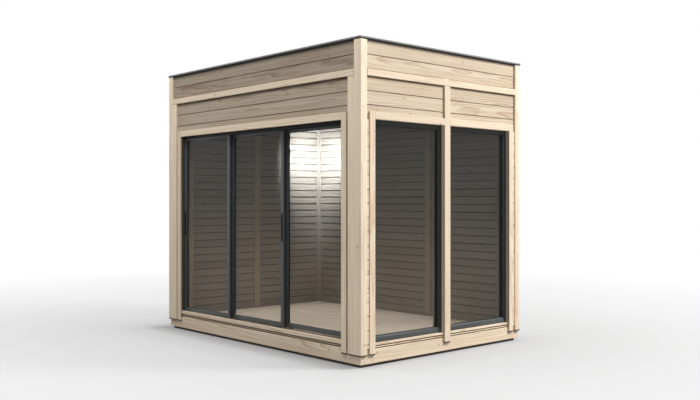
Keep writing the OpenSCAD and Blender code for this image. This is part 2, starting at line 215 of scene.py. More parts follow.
def mirrored(obj, axis, *figure):
    size = [1, 1, 1, 1]
    size[axis] = -1
    return twinOf(obj, Matrix.Diagonal(size), *figure)


def joined(name, parts):
    bpy.ops.object.select_all(action="DESELECT")
    for part in parts:
        part.select_set(True)
    bpy.context.view_layer.objects.active = parts[0]
    if len(parts) > 1:
        bpy.ops.object.join()
    obj = bpy.context.view_layer.objects.active
    obj.name = name
    obj.data.name = name
    return obj


def dress(obj, material):
    obj.data.materials.clear()
    obj.data.materials.append(material)


def finish(obj, material, slot, *replaced, body="house"):
    dress(obj, material)
    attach(obj, body)
    if replaced:
        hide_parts(*replaced)
    return obj


# materials
def nodeTree(name):
    material = bpy.data.materials.new(name)
    material.use_nodes = True
    tree = material.node_tree
    shader = tree.nodes["Principled BSDF"]
    return material, tree, shader


def plug(tree, socket, value):  # a socket takes a link or a fixed value
    if isinstance(value, bpy.types.NodeSocket):
        tree.links.new(value, socket)
    elif value is not None:
        socket.default_value = value


def add(tree, kind, **sockets):
    # a node with its sockets set; a name that starts with a small letter is a setting of the node itself
    node = tree.nodes.new(kind)
    for key, value in sockets.items():
        if key[0].islower():
            setattr(node, key, value)
        else:
            plug(tree, node.inputs[key.replace("_", " ")], value)
    return node


def maths(tree, operation, a, b=None, clamp=False):
    node = add(tree, "ShaderNodeMath", operation=operation, use_clamp=clamp)
    plug(tree, node.inputs[0], a)
    plug(tree, node.inputs[1], b)
    return node.outputs[0]


def vectors(tree, operation, a, b=None):  # a distance or length comes out as one number
    node = add(tree, "ShaderNodeVectorMath", operation=operation)
    plug(tree, node.inputs[0], a)
    plug(tree, node.inputs["Scale" if operation == "SCALE" else 1], b)
    return node.outputs["Value" if operation in ("DISTANCE", "LENGTH") else "Vector"]


def remap(tree, value, old, new, kind="LINEAR"):  # one range of numbers onto another
    node = add(tree, "ShaderNodeMapRange", interpolation_type=kind, Value=value,
               From_Min=old[0], From_Max=old[1], To_Min=new[0], To_Max=new[1])
    return node.outputs[0]


def mapped(tree, vector, scale, turn=(0, 0, 0)):
    return add(tree, "ShaderNodeMapping", Vector=vector, Scale=scale, Rotation=turn).outputs[0]


def noise(tree, vector, scale, detail, roughness=0.5):
    return add(tree, "ShaderNodeTexNoise", Vector=vector, Scale=scale, Detail=detail, Roughness=roughness)


def relief(tree, shader, height, strength, distance):
    bump = add(tree, "ShaderNodeBump", Height=height, Strength=strength, Distance=distance)
    tree.links.new(bump.outputs[0], shader.inputs["Normal"])


def ramp(tree, value, *stops):  # greys at places from 0 to 1
    node = tree.nodes.new("ShaderNodeValToRGB")
    tree.links.new(value, node.inputs[0])
    while len(node.color_ramp.elements) < len(stops):
        node.color_ramp.elements.new(0.5)
    for element, (place, grey) in zip(node.color_ramp.elements, stops):
        element.position = place
        element.color = (grey, grey, grey, 1)
    return node.outputs[0]


def mixColour(tree, factor, a, b):
    node = add(tree, "ShaderNodeMix", data_type="RGBA")
    for i, value in ((0, factor), (6, a), (7, b)):  # the colour sockets are the seventh and eighth
        plug(tree, node.inputs[i], (*value, 1) if isinstance(value, tuple) else value)
    return node.outputs[2]


# cells to the metre along and across the board, and radii in metres
knotLook = {"cells": (2.3, 8.0), "swirl": 0.045, "core": (0.0085, 0.004)}


def timber(name, pale, dark, knot, knotShare=0.3, figure=1.0, toneSpread=0.24, rough=0.62, ringScale=30.0,
           bump=0.0005, joint=0.14, streaks=1.1):
    material, tree, shader = nodeTree(name)
    place = add(tree, "ShaderNodeAttribute", attribute_name="grain").outputs["Vector"]
    tone = add(tree, "ShaderNodeAttribute", attribute_name="tone").outputs["Fac"]
    wander = noise(tree, mapped(tree, place, (1.1, 7.0, 7.0)), 1.0, 2.0)  # the slow drift of the rings
    # a knot is a round place on the board: its distance is measured in metres, not in the stretched cells
    axes = add(tree, "ShaderNodeSeparateXYZ", Vector=place)
    flat = add(tree, "ShaderNodeCombineXYZ", X=axes.outputs[0],
               Y=maths(tree, "ADD", axes.outputs[1], axes.outputs[2])).outputs[0]
    cells = add(tree, "ShaderNodeTexVoronoi", voronoi_dimensions="2D", Scale=1.0, Randomness=0.9,
                Vector=mapped(tree, flat, (*knotLook["cells"], 1.0)))
    chosen = add(tree, "ShaderNodeSeparateColor", Color=cells.outputs["Color"])
    has = maths(tree, "LESS_THAN", chosen.outputs[0], knotShare)
    back = mapped(tree, cells.outputs["Position"], (1 / knotLook["cells"][0], 1 / knotLook["cells"][1], 0.0))
    gap = vectors(tree, "DISTANCE", flat, back)
    near = remap(tree, gap, (knotLook["swirl"], 0.0), (0.0, 1.0), "SMOOTHSTEP")
    core = remap(tree, gap, knotLook["core"], (0.0, 1.0), "SMOOTHSTEP")
    nearKnot = maths(tree, "MULTIPLY", near, has)
    inKnot = maths(tree, "MULTIPLY", core, has)
    # growth rings round a pith that leans a little along the board and pass round the knots
    lean = mapped(tree, place, (1, 1, 1), (0.0, 0.012, 0.004))
    drift = vectors(tree, "ADD", lean, vectors(tree, "SCALE", wander.outputs["Color"], 0.05))
    push = add(tree, "ShaderNodeCombineXYZ", Z=maths(tree, "MULTIPLY", nearKnot, 0.03)).outputs[0]
    wave = add(tree, "ShaderNodeTexWave", wave_type="RINGS", rings_direction="X", wave_profile="SAW",
               Vector=vectors(tree, "ADD", drift, push), Scale=ringScale, Distortion=0.6, Detail=2.0,
               Detail_Scale=1.5)
    rings = ramp(tree, wave.outputs["Fac"], (0.0, 0.05), (0.55, 0.35), (0.88, 1.0), (1.0, 0.1))
    fine = noise(tree, mapped(tree, place, (6.0, 420.0, 420.0)), 1.0, 3.0, 0.6).outputs["Fac"]  # fibres
    streak = noise(tree, mapped(tree, place, (1.5, 60.0, 60.0)), 1.0, 2.0).outputs["Fac"]
    patch = remap(tree, wander.outputs["Fac"], (0.35, 0.65), (figure * 0.5, figure))
    ringShare = maths(tree, "MULTIPLY", rings, patch)
    streakShare = maths(tree, "MULTIPLY", maths(tree, "SUBTRACT", streak, 0.5), streaks)
    fineShare = maths(tree, "MULTIPLY", maths(tree, "SUBTRACT", fine, 0.5), 0.35)
    share = maths(tree, "ADD", maths(tree, "ADD", ringShare, streakShare), fineShare, clamp=True)
    colour = mixColour(tree, share, pale, dark)
    halo = maths(tree, "MULTIPLY", maths(tree, "POWER", nearKnot, 3.0), 0.4)
    colour = mixColour(tree, halo, colour, dark)
    colour = mixColour(tree, maths(tree, "MULTIPLY", inKnot, 0.85), colour, knot)
    # each board a little lighter or darker, and some groups of boards set darker or lighter as painted shade
    # or light; a tone of -1 is a dark joint, or painted shadow at lap ends and behind the cill joints
    level = ramp(tree, remap(tree, tone, (-1.0, 1.0), (0.0, 1.0)),
                 (0.0, joint), (0.5, 1.0 - toneSpread), (1.0, 1.0))
    hue = add(tree, "ShaderNodeHueSaturation", Color=colour, Value=level)
    tree.links.new(hue.outputs[0], shader.inputs["Base Color"])
    tree.links.new(remap(tree, share, (0.0, 1.0), (rough - 0.05, rough + 0.12)), shader.inputs["Roughness"])
    shader.inputs["Specular IOR Level"].default_value = 0.3
    relief(tree, shader, maths(tree, "ADD", maths(tree, "MULTIPLY", rings, 0.5), fine), 0.6, bump)
    return material


timberLooks = {  # pale wood, dark wood and knots
    "outer": ((0.84, 0.712, 0.548), (0.55, 0.365, 0.23), (0.30, 0.165, 0.085)),
    "inner": ((0.63, 0.565, 0.485), (0.47, 0.385, 0.3), (0.26, 0.15, 0.08)),
    "floor": ((0.78, 0.68, 0.56), (0.64, 0.52, 0.39), (0.26, 0.15, 0.08)),
    "bearer": ((0.10, 0.082, 0.066), (0.045, 0.036, 0.028), (0.045, 0.036, 0.028)),
    "frame": ((0.70, 0.57, 0.40), (0.52, 0.38, 0.24), (0.26, 0.15, 0.08)),
}
outerTimber = timber("outerTimber", *timberLooks["outer"])
trimTimber = timber("trimTimber", *timberLooks["outer"], knotShare=0.2, figure=0.6, streaks=0.8)
innerTimber = timber("innerTimber", *timberLooks["inner"], knotShare=0.15, figure=0.45, joint=0.04,
                     streaks=0.5)
floorTimber = timber("floorTimber", *timberLooks["floor"], knotShare=0.2)
bearerTimber = timber("bearerTimber", *timberLooks["bearer"], rough=0.75)
frameTimber = timber("frameTimber", *timberLooks["frame"], rough=0.75, bump=0.001)


def coatedMetal(name, colour, rough, grit=0.00012, gloss=0.35):  # powder coat with fine orange peel
    material, tree, shader = nodeTree(name)
    place = add(tree, "ShaderNodeTexCoord").outputs["Object"]
    broad = noise(tree, place, 2.6, 3.0).outputs["Fac"]
    dull = tuple(min(1, c * 1.18 + 0.004) for c in colour)
    tree.links.new(mixColour(tree, broad, colour, dull), shader.inputs["Base Color"])
    tree.links.new(remap(tree, broad, (0, 1), (rough - 0.06, rough + 0.08)), shader.inputs["Roughness"])
    relief(tree, shader, noise(tree, place, 900.0, 2.0).outputs["Fac"], 0.35, grit)
    shader.inputs["Specular IOR Level"].default_value = gloss
    return material


frameMetal = coatedMetal("frameMetal", (0.062, 0.07, 0.071), 0.42)
trackMetal = coatedMetal("trackMetal", (0.055, 0.06, 0.062), 0.36)
handleMetal = coatedMetal("handleMetal", (0.004, 0.004, 0.0045), 0.5, gloss=0.1)
# painted shade and light: the window frames' stiles and heads get a darker coat than their bottom rails
shadedWindowMetal = coatedMetal("shadedWindowMetal", (0.05, 0.051, 0.048), 0.5, gloss=0.12)
litBottomBarMetal = coatedMetal("litBottomBarMetal", (0.066, 0.073, 0.073), 0.45, gloss=0.15)
# painted shade: the door's head track is coated nearly black, darker than the other frames
shadedHeadMetal = coatedMetal("shadedHeadMetal", (0.014, 0.015, 0.015), 0.5, gloss=0.12)
edgeMetal = coatedMetal("edgeMetal", (0.2, 0.2, 0.19), 0.45)
rubber = coatedMetal("sealRubber", (0.008, 0.008, 0.008), 0.75, 0.0002, 0.1)


glassTopShade = {"levels": (0.9, 2.1), "share": (0.34, 0.5)}  # the glass grows less clear towards the top, which is painted shade on the room seen through it


def glassLook():
    material, tree, shader = nodeTree("glazing")
    place = add(tree, "ShaderNodeTexCoord").outputs["Object"]
    film = noise(tree, place, 1.4, 2.0).outputs["Fac"]
    tree.links.new(remap(tree, film, (0, 1), (0.015, 0.05)), shader.inputs["Roughness"])
    height = add(tree, "ShaderNodeSeparateXYZ", Vector=place).outputs["Z"]
    tree.links.new(remap(tree, height, glassTopShade["levels"], glassTopShade["share"]), shader.inputs["Alpha"])
    shader.inputs["Base Color"].default_value = (0.02, 0.024, 0.024, 1)
    shader.inputs["IOR"].default_value = 1.45
    shader.inputs["Specular IOR Level"].default_value = 0.3
    return material


def membraneLook():
    material, tree, shader = nodeTree("roofSheet")
    place = add(tree, "ShaderNodeTexCoord").outputs["Object"]
    fine = noise(tree, place, 240.0, 3.0).outputs["Fac"]
    broad = noise(tree, place, 1.7, 4.0).outputs["Fac"]
    colour = mixColour(tree, broad, (0.035, 0.036, 0.038), (0.085, 0.084, 0.082))
    colour = mixColour(tree, maths(tree, "MULTIPLY", fine, 0.3), colour, (0.13, 0.13, 0.128))
    tree.links.new(colour, shader.inputs["Base Color"])
    shader.inputs["Roughness"].default_value = 0.82
    relief(tree, shader, fine, 0.5, 0.0006)
    return material


glazing = glassLook()
roofSheet = membraneLook()
print("materials ready")

# the house's levels, from the frame
postLow, postHigh = edges("corner_post_front_right")
sillLow, sillHigh = edges("sills_long")
trimLow, trimHigh = edges("fascia_trims")
frameLow, frameHigh = edges("window_frames")
headWallHigh, backWallLow = edges("front_header_wall")[1], edges("back_wall")[0]
ceilingLow, ceilingHigh = edges("ceiling_boards")
floorLow, floorHigh = edges("floor_deck")
halfW, halfD = postHigh.x, -postLow.y
bearerTop, sillTop = sillLow.z, sillHigh.z
lapBase, postTop = postLow.z - lapLook["drop"], postHigh.z
openingTop, fasciaBase = edges("front_header_cladding")[0].z, trimLow.z
faceIn = halfW - sillHigh.x  # boards stand back from the post faces
postW, postD = postHigh.x - postLow.x, postHigh.y - postLow.y
doorHalf = -edges("door_threshold")[0].x
windowIn = halfD + frameLow.y  # from the post face to the window opening
midHalf = edges("window_mullion_post")[1].y
trimW = edges("door_surround")[1].z - openingTop
roomX, roomFront, roomBack = -edges("left_wall")[1].x, headWallHigh.y, backWallLow.y


# boards
boardLook = {"chamfer": 0.003, "tongue": 0.3, "least": 0.012}  # tongue as a share of the thickness


def boardStrip(name, along, faceAt, outward, span, levels, look, tone=(-0.08, 0.24), topShadowGap=0.0):
    # boards on one wall face between the levels of their joints; outward is the way that the face looks
    depth, rearAt, gap = 1 - along, faceAt - outward * look["thick"], look["gap"]
    parts, pattern = [], None
    for low, high in zip(levels[:-1], levels[1:]):
        # painted shadow: a top gap widens the last joint, so more of the dark-painted tongue shows, as a
        # shadow line under a trim or under the flashing
        extra = topShadowGap if high == levels[-1] else 0.0
        if pattern and not extra and abs(pattern[0] - (high - low)) < 1e-5:
            parts.append(copyMoved(pattern[2], (0, 0, low - pattern[1]), along, 2))
            continue
        top = high - gap / 2 - extra
        board = bar(name, along, span, (faceAt, rearAt), (low + gap / 2, top))
        edit(board)
        # the two long edges on the weather face
        pick(board, "edges", lambda e: abs(e.verts[0].co[along] - e.verts[1].co[along]) > 1e-4
             and all(abs(v.co[depth] - faceAt) < 1e-5 for v in e.verts))
        bevel(boardLook["chamfer"], 2)
        # a tongue along the top edge closes the joint behind, and lies in its own dark joint
        pick(board, "faces", lambda f: f.normal.z > 0.9)
        squeeze, rear = [1, 1, 1], [0, 0, high]
        squeeze[depth], rear[depth] = boardLook["tongue"], rearAt
        extrude(0, 0, 0)
        bpy.ops.transform.resize(value=squeeze, center_override=rear)
        extrude(0, 0, gap * 0.96 + extra)
        done()
        darken(grain(board, along, 2, tone), lambda co: co.z > top + 1e-5)
        pattern = (high - low, low, board)
        parts.append(board)
    return parts


def joints(low, high, start, pitch):  # where boards meet between two levels
    places = [low]
    k = math.ceil((low + boardLook["least"] - start) / pitch)
    while start + k * pitch < high - boardLook["least"]:
        places.append(start + k * pitch)
        k += 1
    return places + [high]


# painted shade: the front header boards and the boards beside the door get darker tones than the other
# walls; painted light: the narrow strips beside the windows get a lighter tone
cladding = {"pitch": 0.1238, "thick": 0.02, "gap": 0.006, "footGap": 0.007, "headShadowGap": 0.009,
            "frontShadowGap": 0.02, "headerShadeTone": (-0.42, -0.25), "sideShadowTone": (-0.89, -0.87),
            "stripTone": (0.8, 0.99), "stripOut": 0.009}
face, backY = halfW - faceIn, halfD - faceIn
wallFoot = sillTop + cladding["footGap"]
backMid = [v.co.x for v in nodes["back_cladding"].data.vertices if 0 < v.co.x < 0.8]
backInner, backOuter = min(backMid), max(backMid)  # the two edges of a back post
# the walls between the posts, beside the windows and beside the door
besideMid = ((-halfD + postD, -midHalf), (midHalf, halfD - postD))
besideWindow = ((-halfD + postD, -halfD + windowIn), (halfD - windowIn, halfD - postD))
besideDoor = ((-halfW + postW, -doorHalf), (doorHalf, halfW - postW))


def clad(along, faceAt, outward, spans, low, high, topShadowGap=0.0, **more):
    levels = joints(low, high, openingTop, cladding["pitch"])
    return [board for span in spans for board in
            boardStrip("cladding", along, faceAt, outward, span, levels, cladding, topShadowGap=topShadowGap, **more)]


headShadowGap = cladding["headShadowGap"]
parts = clad(1, -face, -1, besideMid, wallFoot, fasciaBase, headShadowGap)
finish(joined("leftCladdingBoards", parts), outerTimber, "outer_timber", "left_cladding")
spans = ((-halfW + postW, -backOuter), (-backInner, backInner), (backOuter, halfW - postW))
parts = clad(0, backY, 1, spans, wallFoot, fasciaBase, headShadowGap)
finish(joined("backCladdingBoards", parts), outerTimber, "outer_timber", "back_cladding")
# painted shade: the front header boards are darker than the same boards on the right side
parts = clad(0, -backY, -1, ((-halfW + postW, halfW - postW),), openingTop, fasciaBase, cladding["frontShadowGap"],
             tone=cladding["headerShadeTone"])
finish(joined("frontHeaderBoards", parts), outerTimber, "outer_timber", "front_header_cladding")
# painted shadow: the boards beside the door are nearly black
parts = clad(0, -backY, -1, besideDoor, wallFoot, openingTop, tone=cladding["sideShadowTone"])
finish(joined("frontSideBoards", parts), outerTimber, "outer_timber", "front_side_claddings")
parts = clad(1, face, 1, besideMid, openingTop, fasciaBase, headShadowGap)
# painted light: the narrow strips beside the windows get a lighter tone
parts += clad(1, face + cladding["stripOut"], 1, besideWindow, wallFoot, openingTop,
              tone=cladding["stripTone"])
finish(joined("rightCladdingBoards", parts), outerTimber, "outer_timber", "right_cladding")
print("outer boards ready")

lining = {"pitch": 0.0845, "thick": 0.018, "gap": 0.012, "tone": (0.2, 0.7), "reveal": 0.015,
          "revealBack": 0.021}
low, high = sillTop, ceilingLow.z


def line(along, faceAt, outward, spans, low, high):
    levels = joints(low, high, sillTop, lining["pitch"])
    return [board for span in spans for board in
            boardStrip("lining", along, faceAt, outward, span, levels, lining, lining["tone"])]


parts = line(1, -roomX, 1, besideMid, low, high)
finish(joined("leftLiningBoards", parts), innerTimber, "inner_boards", "left_wall")
parts = line(0, roomBack, -1, ((-roomX, -backOuter), (-backInner, backInner), (backOuter, roomX)), low, high)
finish(joined("backLiningBoards", parts), innerTimber, "inner_boards", "back_wall")
parts = line(1, roomX, -1, besideMid, openingTop, high) + line(1, roomX, -1, besideWindow, low, openingTop)
thick, out = lining["reveal"], halfD - windowIn
depths = (roomX + lining["thick"] + 0.0005, face - lining["revealBack"])
for y0, y1 in ((-out - thick, -out), (out, out + thick)):  # boards round the window openings
    parts.append(grain(ease(bar("reveal", 1, (y0, y1), depths, (sillTop, openingTop)), 0.0015), 2, 0))
for span in ((-out, -midHalf), (midHalf, out)):
    parts.append(grain(ease(bar("reveal", 1, span, depths, (openingTop, openingTop + thick)), 0.0015), 1, 0))
finish(joined("rightLiningBoards", parts), innerTimber, "inner_boards", "right_wall")
jambX = headWallHigh.x
parts = line(0, roomFront, 1, ((-jambX, jambX),), openingTop, high)
finish(joined("frontHeaderLining", parts), innerTimber, "inner_boards", "front_header_wall")
parts = line(0, roomFront, 1, ((-roomX, -jambX), (jambX, roomX)), low, high)
finish(joined("frontSideLining", parts), innerTimber, "inner_boards", "front_side_walls")


def flatBoards(name, low, high, look):  # floor or ceiling boards along X, one layer
    count = max(1, round((high.y - low.y) / look["pitch"]))
    step, half = (high.y - low.y) / count, look["gap"] / 2
    first = block(name, (low.x, low.y + half, low.z), (high.x, low.y + step - half, high.z))
    grain(ease(first, look["ease"]), 0, 1, look["tone"])
    return joined(name + "s", [first] + [copyMoved(first, (0, i * step, 0), 0, 1) for i in range(1, count)])


floorLook = {"pitch": 0.11, "gap": 0.0025, "ease": 0.0012, "tone": (0.72, 1.0)}
# painted shade: the ceiling boards get darker tones than the wall lining
ceilingLook = {"pitch": 0.09, "gap": 0.0004, "ease": 0.003, "tone": (-0.3, -0.1)}
boards = flatBoards("floorBoard", floorLow, floorHigh, floorLook)
finish(boards, floorTimber, "floor_boards", "floor_deck")
boards = flatBoards("ceilingBoard", ceilingLow, ceilingHigh, ceilingLook)
finish(boards, innerTimber, "inner_boards", "ceiling_boards")

stripLook = {"width": 0.04, "thick": 0.012}
stripW, stripT = stripLook["width"], stripLook["thick"]
parts = []
for sx in (-1, 1):
    for sy, wallY in ((-1, roomFront), (1, roomBack)):
        x = sx * roomX
        strip = bar("strip", 0, sorted((x, x - sx * stripW)), (wallY, wallY - sy * stripT), (low, high))
        edit(strip)
        cut(0, x - sx * stripT)
        # the short leg of the angle grows from the room face beside the wall
        pick(strip, "faces", lambda f: f.normal.y * -sy > 0.9 and abs(f.calc_center_median().x - x) < stripT)
        extrude(0, -sy * (stripW - stripT), 0)
        done()
        parts.append(grain(ease(strip, 0.002), 2, 0))
finish(joined("innerCornerStrips", parts), innerTimber, "inner_boards", "inner_corner_strips")

skirtLook = {"thick": 0.012, "height": 0.018, "tone": (0.1, 0.3)}
inside, rise = stripW + 0.0005, (floorHigh.z + 0.0002, floorHigh.z + skirtLook["height"])
leftDepths = (-roomX + 0.0003, -roomX + skirtLook["thick"])
backDepths = (roomBack - skirtLook["thick"], roomBack - 0.0003)
parts = [bar("skirting", 1, (roomFront + inside, roomBack - inside), leftDepths, rise),
         bar("skirting", 0, (-roomX + inside, roomX - inside), backDepths, rise)]
for piece, axis in zip(parts, (1, 0)):
    grain(ease(piece, 0.002), axis, 2, skirtLook["tone"])
finish(joined("skirting", parts), innerTimber, "inner_boards")
print("inner boards ready")

# base
baseLook = {"bearerEase": 0.003, "sillEase": 0.0035}
bearerXs = sorted({round(v.co.x, 4) for v in nodes["ground_bearers"].data.vertices})
bearerLow, bearerHigh = edges("ground_bearers")
bearerW = bearerXs[1] - bearerXs[0]
first = bar("bearer", 1, (bearerLow.y + bearerW, bearerHigh.y - bearerW), bearerXs[:2], (0, bearerTop))
parts = [grain(ease(first, baseLook["bearerEase"]), 1, 0)]
parts += [copyMoved(first, (x - bearerXs[0], 0, 0), 1, 0) for x in bearerXs[2::2]]
long = bar("bearer", 0, (bearerLow.x, bearerHigh.x), (bearerLow.y, bearerLow.y + bearerW), (0, bearerTop))
grain(ease(long, baseLook["bearerEase"]), 0, 1)
parts += [long, mirrored(long, 1, 0, 1)]
finish(joined("groundBearers", parts), bearerTimber, "bearer_timber", "ground_bearers")

shortLow, shortHigh = edges("sills_short")
rise = (bearerTop, sillTop)
parts = []
for depths in ((sillLow.y, shortLow.y), (shortHigh.y, sillHigh.y)):
    piece = ease(bar("sill", 0, (sillLow.x, sillHigh.x), depths, rise), baseLook["sillEase"])
    parts.append(grain(piece, 0, 2))
finish(joined("longSills", parts), outerTimber, "outer_timber", "sills_long")
piece = bar("sill", 1, (shortLow.y + 0.0004, shortHigh.y - 0.0004), (roomX, shortHigh.x), rise)
grain(ease(piece, baseLook["sillEase"]), 1, 2)
finish(joined("shortSills", [piece, mirrored(piece, 0, 1, 2)]), outerTimber, "outer_timber", "sills_short")
for name in ("floor_joists", "roof_beams", "roof_deck"):
    dress(nodes[name], frameTimber)

# posts
postLook = {"topWidth": 0.085, "round": 0.008, "ease": 0.003, "battenEase": 0.0025, "innerTone": (0.3, 0.4)}
postTopW = postLook["topWidth"]  # beside the fascia


def cornerPost():  # lapped over the sills, notched beside the fascia
    post = block("cornerPost", (halfW - postTopW, -halfD, sillTop), (halfW, -halfD + postD, postTop))
    edit(post)
    cut(2, fasciaBase)
    pick(post, "faces", lambda f: f.normal.x < -0.9 and f.calc_center_median().z < fasciaBase)
    extrude(postTopW - postW, 0, 0)  # the wide foot of the post grows inwards under the fascia
    cut(0, face)
    cut(1, -backY)

    def skin(f):  # only the outer skin laps down over the sills
        mid = f.calc_center_median()
        return f.normal.z < -0.9 and mid.z < sillTop + 0.01 and (mid.x > face or mid.y < -backY)

    pick(post, "faces", skin)
    extrude(0, 0, lapBase - sillTop)
    pick(post, "edges", lambda e: all(abs(v.co.x - halfW) < 1e-5 and abs(v.co.y + halfD) < 1e-5
                                      for v in e.verts))
    bevel(postLook["round"], 4)  # the outer corner gets a larger round
    bpy.ops.mesh.select_all(action="SELECT")
    bpy.ops.mesh.dissolve_limited(angle_limit=0.02)
    done()
    return lap(ease(post, postLook["ease"], 2, 50), 2, 0)


frontRight = cornerPost()
frontLeft, backRight = mirrored(frontRight, 0, 2, 0), mirrored(frontRight, 1, 2, 0)
backLeft = mirrored(backRight, 0, 2, 0)
for post, name, node in ((frontLeft, "cornerPostFrontLeft", "corner_post_front_left"),
                         (backRight, "cornerPostBackRight", "corner_post_back_right"),
                         (backLeft, "cornerPostBackLeft", "corner_post_back_left"),
                         (frontRight, "cornerPostFrontRight", "corner_post_front_right")):
    finish(smooth(joined(name, [post])), trimTimber, "outer_timber", node)


def midPost(sign, along, centre, tone):  # batten outside, post inside, one piece
    outer, inner = ((halfW, roomX), (halfD, roomBack))[1 - along]
    span, back = (centre - midHalf, centre + midHalf), outer - faceIn
    batten = bar("batten", along, span, (sign * outer, sign * back), (lapBase, fasciaBase))
    lap(ease(batten, postLook["battenEase"]), 2, along)
    post = bar("post", along, span, (sign * (back - 0.0003), sign * (inner - 0.01)), (sillTop, ceilingLow.z))
    return [batten, grain(ease(post, postLook["ease"]), 2, 1 - along, tone)]


battenX = (backInner + backOuter) / 2
parts = []
for sign, along, centre in ((-1, 1, 0.0), (1, 0, battenX), (1, 0, -battenX)):
    parts += midPost(sign, along, centre, postLook["innerTone"])
finish(joined("wallMidPosts", parts), trimTimber, "outer_timber", "wall_mid_posts")
parts = midPost(1, 1, 0.0, (0.72, 1.0))
finish(joined("windowMullionPost", parts), trimTimber, "outer_timber", "window_mullion_post")
print("posts ready")

# trims
trimLook = {"ease": 0.0025}
trimTop = openingTop + trimW
windowEdge = halfD - windowIn


def surround(along, edge, depths, headFrom):  # the jamb trim at one side, its mirror image and the head trim
    jamb = bar("jambTrim", along, (edge, edge + trimW), depths, (lapBase, trimTop))
    lap(ease(jamb, trimLook["ease"]), 2, along)
    other = mirrored(jamb, along, 2, along)
    head = bar("headTrim", along, (headFrom + 0.0003, edge - 0.0003), depths, (openingTop, trimTop))
    return [jamb, other, grain(ease(head, trimLook["ease"]), along, 2)]


parts = surround(0, doorHalf, (-halfD, -backY), -doorHalf)
finish(joined("doorSurround", parts), trimTimber, "outer_timber", "door_surround")
parts = surround(1, windowEdge, (face, halfW), midHalf)
parts.append(mirrored(parts[2], 1, 1, 2))
finish(joined("windowSurround", parts), trimTimber, "outer_timber", "window_surround")

cillLook = {"foot": 0.01, "strip": 0.02, "gap": 0.011, "back": 0.005, "thick": 0.03, "dark": 0.018,
            "ease": 0.002, "windowTone": (0.7, 0.9), "doorShadeTone": (-0.42, -0.34)}


def cillBoards(name, along, span, top, inner, sign, stripTone):
    # a low strip, a shadow joint and the cill board above
    out = (backY, face)[along]
    rear, stripTop = out - cillLook["thick"], sillTop + cillLook["strip"]
    boardFoot = stripTop + cillLook["gap"]
    pieces = []
    for z0, z1, near, far in ((sillTop + cillLook["foot"], stripTop, out - cillLook["back"], rear),
                              (boardFoot, top, out, inner),
                              (sillTop, boardFoot + 0.004, out - cillLook["dark"], rear)):
        piece = ease(bar(name, along, span, (sign * near, sign * far), (z0, z1)), cillLook["ease"])
        pieces.append(grain(piece, along, 2, (0.72, 1.0) if pieces else stripTone))
    darken(pieces[2], lambda co: True)  # painted shade: the strip behind the joints is painted dark all over
    return pieces


parts = cillBoards("cill", 1, (midHalf, windowEdge), frameLow.z, roomX, 1, cillLook["windowTone"])
parts += [mirrored(p, 1, 1, 2) for p in parts]
finish(joined("windowCills", parts), outerTimber, "outer_timber", "window_cills")
thresholdHigh = edges("door_threshold")[1]
# painted shade: the low strip under the door gets a dark tone, the one under the windows a light one
parts = cillBoards("threshold", 0, (-doorHalf, doorHalf), thresholdHigh.z, -thresholdHigh.y, -1,
                   cillLook["doorShadeTone"])
finish(joined("doorThreshold", parts), outerTimber, "outer_timber", "door_threshold")

# fascia
# painted shade: the front fascia boards get darker tones than those on the sides and back
fasciaLook = {"thick": 0.02, "gap": 0.006, "joint": 0.129, "topShadowGap": 0.006, "frontShadeTone": (-0.56, -0.44),
              "ease": 0.003}
levels = [fasciaBase, trimHigh.z + 0.004, trimHigh.z + fasciaLook["joint"], postTop - 0.0005]
frontX, sideY = halfW - postTopW, halfD - postD
parts = boardStrip("fascia", 0, -backY, -1, (-frontX, frontX), levels, fasciaLook, fasciaLook["frontShadeTone"],
                   fasciaLook["topShadowGap"])
for along, faceAt, sign, reach in ((0, backY, 1, frontX), (1, -face, -1, sideY), (1, face, 1, sideY)):
    parts += boardStrip("fascia", along, faceAt, sign, (-reach, reach), levels, fasciaLook)
finish(joined("fasciaBoards", parts), outerTimber, "outer_timber", "fascia_boards")
proud = -trimLow.y - halfD
parts = []
for along, reach, depths in ((0, frontX, (-halfD - proud, -backY)), (1, sideY, (face, halfW + proud))):
    piece = bar("fasciaTrim", along, (-reach, reach), depths, (fasciaBase, trimHigh.z))
    grain(ease(piece, fasciaLook["ease"]), along, 2)
    parts += [piece, mirrored(piece, 1 - along, along, 2)]
finish(joined("fasciaTrims", parts), trimTimber, "outer_timber", "fascia_trims")
print("fascia ready")

# roof
roofLook = {"seams": 3, "lap": 0.05, "seamH": 0.0022}
sheetLow, sheetHigh = edges("roof_membrane")
flashHigh = edges("roof_flashing")[1]
step = (sheetHigh.x - sheetLow.x) / roofLook["seams"]
seamXs = [sheetLow.x + i * step for i in range(1, roofLook["seams"])]
sheet = block("roofMembrane", sheetLow, sheetHigh)
edit(sheet)
for x in seamXs:
    cut(0, x)
    cut(0, x + roofLook["lap"])
pick(sheet, "faces", lambda f: f.normal.z > 0.9 and any(0 < f.calc_center_median().x - x < roofLook["lap"]
                                                        for x in seamXs))
extrude(0, 0, roofLook["seamH"])  # the welded laps between the strips of sheet
done()
finish(joined("roofMembrane", [ease(sheet, 0.0009, 1)]), roofSheet, "roof_sheet", "roof_membrane")

flashLook = {"lip": 0.004, "seal": 0.012, "top": 0.06, "jointGap": 0.0006, "foot": 0.0025, "ease": 0.003}


